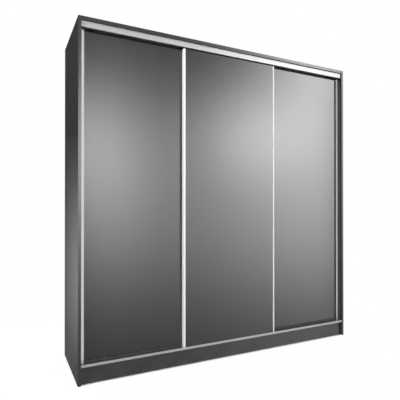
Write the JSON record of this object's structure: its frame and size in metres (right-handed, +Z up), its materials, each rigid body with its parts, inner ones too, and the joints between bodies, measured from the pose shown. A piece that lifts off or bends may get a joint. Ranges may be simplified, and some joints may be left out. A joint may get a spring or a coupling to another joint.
{
  "type": "sliding door wardrobe",
  "caption": "Free-standing wardrobe with full-height sliding doors in slim aluminium edge profiles, rolling on parallel tracks in front of shelves and hanging rails.",
  "frame": {"origin": "on the floor, at the middle of the footprint", "axes": "+Z up; the doors face -Y; +X runs to the right along the doors, seen from the front"},
  "size_m": [2.1, 0.56, 2.16],
  "materials": {
    "graphite_board": "satin melamine board",
    "graphite_gloss": "semi-gloss lacquered board",
    "back_board": "raw hardboard outside, dark melamine on the face inside",
    "aluminium": "satin anodised, brushed lengthwise",
    "chrome": "polished",
    "steel": "zinc plated",
    "black_plastic": "fine matt texture",
    "nylon": "moulded nylon"
  },
  "bodies": {
    "carcass": {"side_panel_left": "graphite_board", "divider_left": "graphite_board", "glide_front_left": "black_plastic", "glide_rear_left": "black_plastic", "side_panel_right": "graphite_board", "divider_right": "graphite_board", "glide_front_right": "black_plastic", "glide_rear_right": "black_plastic", "top_panel": "graphite_board", "bottom_panel": "graphite_board", "plinth_front": "graphite_board", "plinth_rear": "graphite_board", "back_sheet_left": "back_board", "back_sheet_middle": "back_board", "back_sheet_right": "back_board", "shelf_left": "graphite_board", "hanging_rail_left": "chrome", "shelf_right": "graphite_board", "hanging_rail_right": "chrome", "shelf_middle_1": "graphite_board", "shelf_middle_2": "graphite_board", "shelf_middle_3": "graphite_board", "shelf_middle_4": "graphite_board", "shelf_middle_5": "graphite_board", "top_track": "aluminium", "top_fascia": "aluminium", "bottom_track": "aluminium"},
    "door_left": {"door_left_panel": "graphite_gloss", "door_left_stile_left": "aluminium", "door_left_stile_right": "aluminium", "door_left_roller_carriage_left": "black_plastic", "door_left_top_guide_left": "black_plastic", "door_left_roller_carriage_right": "black_plastic", "door_left_top_guide_right": "black_plastic"},
    "door_middle": {"door_middle_panel": "graphite_gloss", "door_middle_stile_left": "aluminium", "door_middle_stile_right": "aluminium", "door_middle_roller_carriage_left": "black_plastic", "door_middle_top_guide_left": "black_plastic", "door_middle_roller_carriage_right": "black_plastic", "door_middle_top_guide_right": "black_plastic"},
    "door_right": {"door_right_panel": "graphite_gloss", "door_right_stile_left": "aluminium", "door_right_stile_right": "aluminium", "door_right_roller_carriage_left": "black_plastic", "door_right_top_guide_left": "black_plastic", "door_right_roller_carriage_right": "black_plastic", "door_right_top_guide_right": "black_plastic"},
    "door_left_wheel_left": {"door_left_wheel_left": "nylon"},
    "door_left_height_screw_left": {"door_left_height_screw_left": "steel"},
    "door_left_wheel_right": {"door_left_wheel_right": "nylon"},
    "door_left_height_screw_right": {"door_left_height_screw_right": "steel"},
    "door_middle_wheel_left": {"door_middle_wheel_left": "nylon"},
    "door_middle_height_screw_left": {"door_middle_height_screw_left": "steel"},
    "door_middle_wheel_right": {"door_middle_wheel_right": "nylon"},
    "door_middle_height_screw_right": {"door_middle_height_screw_right": "steel"},
    "door_right_wheel_left": {"door_right_wheel_left": "nylon"},
    "door_right_height_screw_left": {"door_right_height_screw_left": "steel"},
    "door_right_wheel_right": {"door_right_wheel_right": "nylon"},
    "door_right_height_screw_right": {"door_right_height_screw_right": "steel"}
  },
  "joints": [
    {"name": "door_left_slide", "type": "slide", "parent": "carcass", "child": "door_left", "axis": [1, 0, 0], "range_m": [0, 0.59]},
    {"name": "door_middle_slide", "type": "slide", "parent": "carcass", "child": "door_middle", "axis": [1, 0, 0], "range_m": [-0.65, 0.67]},
    {"name": "door_right_slide", "type": "slide", "parent": "carcass", "child": "door_right", "axis": [1, 0, 0], "range_m": [-0.59, 0]},
    {"name": "door_left_wheel_left_spin", "type": "hinge", "parent": "door_left", "child": "door_left_wheel_left", "pos_m": [-0.968, -0.217, 0.1241], "axis": [0, 1, 0], "continuous": true},
    {"name": "door_left_height_screw_left_turn", "type": "hinge", "parent": "door_left", "child": "door_left_height_screw_left", "pos_m": [-0.946, -0.217, 0.168], "axis": [0, 0, 1], "range_deg": [-720, 720]},
    {"name": "door_left_wheel_right_spin", "type": "hinge", "parent": "door_left", "child": "door_left_wheel_right", "pos_m": [-0.35867, -0.217, 0.1241], "axis": [0, 1, 0], "continuous": true},
    {"name": "door_left_height_screw_right_turn", "type": "hinge", "parent": "door_left", "child": "door_left_height_screw_right", "pos_m": [-0.38067, -0.217, 0.168], "axis": [0, 0, 1], "range_deg": [-720, 720]},
    {"name": "door_middle_wheel_left_spin", "type": "hinge", "parent": "door_middle", "child": "door_middle_wheel_left", "pos_m": [-0.31467, -0.2505, 0.1241], "axis": [0, 1, 0], "continuous": true},
    {"name": "door_middle_height_screw_left_turn", "type": "hinge", "parent": "door_middle", "child": "door_middle_height_screw_left", "pos_m": [-0.29267, -0.2505, 0.168], "axis": [0, 0, 1], "range_deg": [-720, 720]},
    {"name": "door_middle_wheel_right_spin", "type": "hinge", "parent": "door_middle", "child": "door_middle_wheel_right", "pos_m": [0.29467, -0.2505, 0.1241], "axis": [0, 1, 0], "continuous": true},
    {"name": "door_middle_height_screw_right_turn", "type": "hinge", "parent": "door_middle", "child": "door_middle_height_screw_right", "pos_m": [0.27267, -0.2505, 0.168], "axis": [0, 0, 1], "range_deg": [-720, 720]},
    {"name": "door_right_wheel_left_spin", "type": "hinge", "parent": "door_right", "child": "door_right_wheel_left", "pos_m": [0.35867, -0.217, 0.1241], "axis": [0, 1, 0], "continuous": true},
    {"name": "door_right_height_screw_left_turn", "type": "hinge", "parent": "door_right", "child": "door_right_height_screw_left", "pos_m": [0.38067, -0.217, 0.168], "axis": [0, 0, 1], "range_deg": [-720, 720]},
    {"name": "door_right_wheel_right_spin", "type": "hinge", "parent": "door_right", "child": "door_right_wheel_right", "pos_m": [0.968, -0.217, 0.1241], "axis": [0, 1, 0], "continuous": true},
    {"name": "door_right_height_screw_right_turn", "type": "hinge", "parent": "door_right", "child": "door_right_height_screw_right", "pos_m": [0.946, -0.217, 0.168], "axis": [0, 0, 1], "range_deg": [-720, 720]}
  ],
  "couplings": [
    {"joint": "door_left_wheel_left_spin", "follows": "door_left_slide", "rad_per_m": 83.333},
    {"joint": "door_left_wheel_right_spin", "follows": "door_left_slide", "rad_per_m": 83.333},
    {"joint": "door_middle_wheel_left_spin", "follows": "door_middle_slide", "rad_per_m": 83.333},
    {"joint": "door_middle_wheel_right_spin", "follows": "door_middle_slide", "rad_per_m": 83.333},
    {"joint": "door_right_wheel_left_spin", "follows": "door_right_slide", "rad_per_m": 83.333},
    {"joint": "door_right_wheel_right_spin", "follows": "door_right_slide", "rad_per_m": 83.333}
  ]
}
